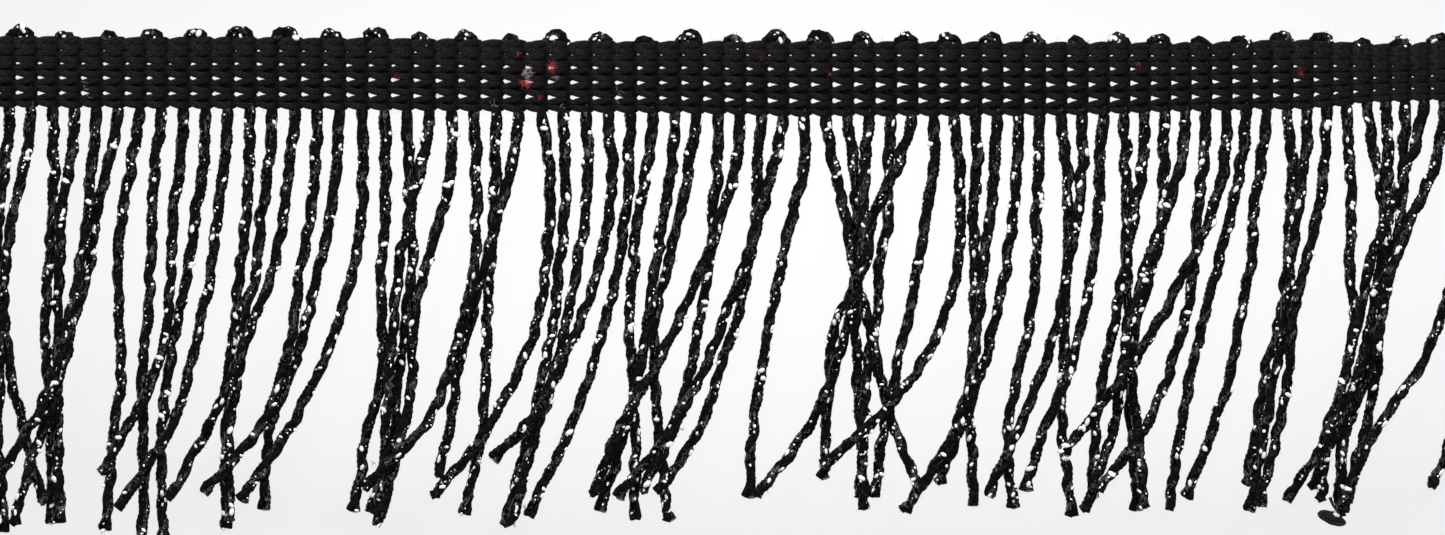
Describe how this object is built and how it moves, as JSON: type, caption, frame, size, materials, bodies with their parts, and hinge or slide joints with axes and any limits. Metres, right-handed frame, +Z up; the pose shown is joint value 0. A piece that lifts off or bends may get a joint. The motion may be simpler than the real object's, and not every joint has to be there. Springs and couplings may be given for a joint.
{
  "type": "chainette fringe",
  "caption": "Cut length of fringe trimming: a ribbed knitted band heading, sewn on by its flat back, with a row of free-hanging twisted yarn strands.",
  "frame": {"origin": "under the middle of the heading, on the surface that the fringe lies on", "axes": "+X along the heading, -Y down the strands, +Z up through the thickness, out of the face side"},
  "size_m": [0.2225, 0.0728, 0.0055],
  "materials": {
    "heading_yarn": "matte black spun yarn, knitted, a little fuzzy, with film yarn in its edge turns",
    "strand_yarn": "black chainette yarn twisted with clear dark film that glints silver"
  },
  "bodies": {
    "root": {"heading": "heading_yarn", "skirt": "strand_yarn"}
  },
  "joints": []
}
